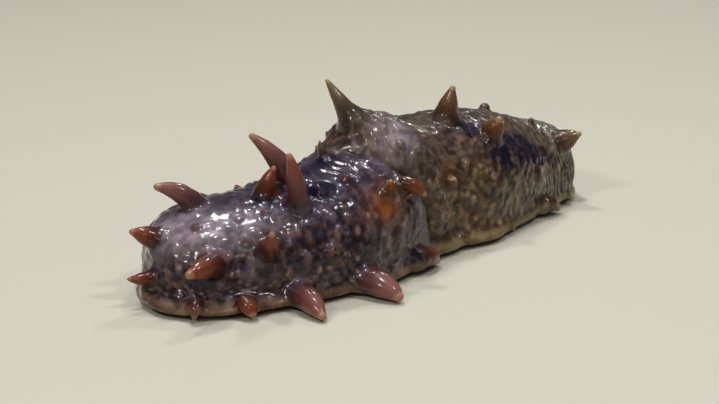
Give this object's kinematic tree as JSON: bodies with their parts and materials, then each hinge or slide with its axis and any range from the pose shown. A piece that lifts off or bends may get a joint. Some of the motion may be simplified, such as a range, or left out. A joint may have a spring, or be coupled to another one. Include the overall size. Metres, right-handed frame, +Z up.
{
  "type": "sea cucumber model",
  "caption": "Still, life-size spiny sea cucumber with a soft plump trunk, conical papillae, a crease across the back, a flat sole with tube feet and a drawn-in mouth.",
  "frame": {"origin": "centre of the whole model's box, at the floor under the tube feet", "axes": "+X from the mouth end to the tail end along the longest extent, +Z up from the floor, -Y towards the flank that the picture shows"},
  "size_m": [0.143, 0.0624, 0.0432],
  "materials": {
    "skin": "wet glossy dark brown skin with paler olive and tan granules and reddish brown papillae",
    "sole": "wet pale brown sole with soft tube feet",
    "mouth": "wet reddish brown drawn-in tentacles and lip"
  },
  "bodies": {
    "root": {"head_end": "skin", "forebody": "skin", "midbody": "skin", "hindbody": "skin", "tail_end": "skin", "sole_front": "sole", "sole_middle": "sole", "sole_rear": "sole", "mouth": "mouth"}
  },
  "joints": []
}
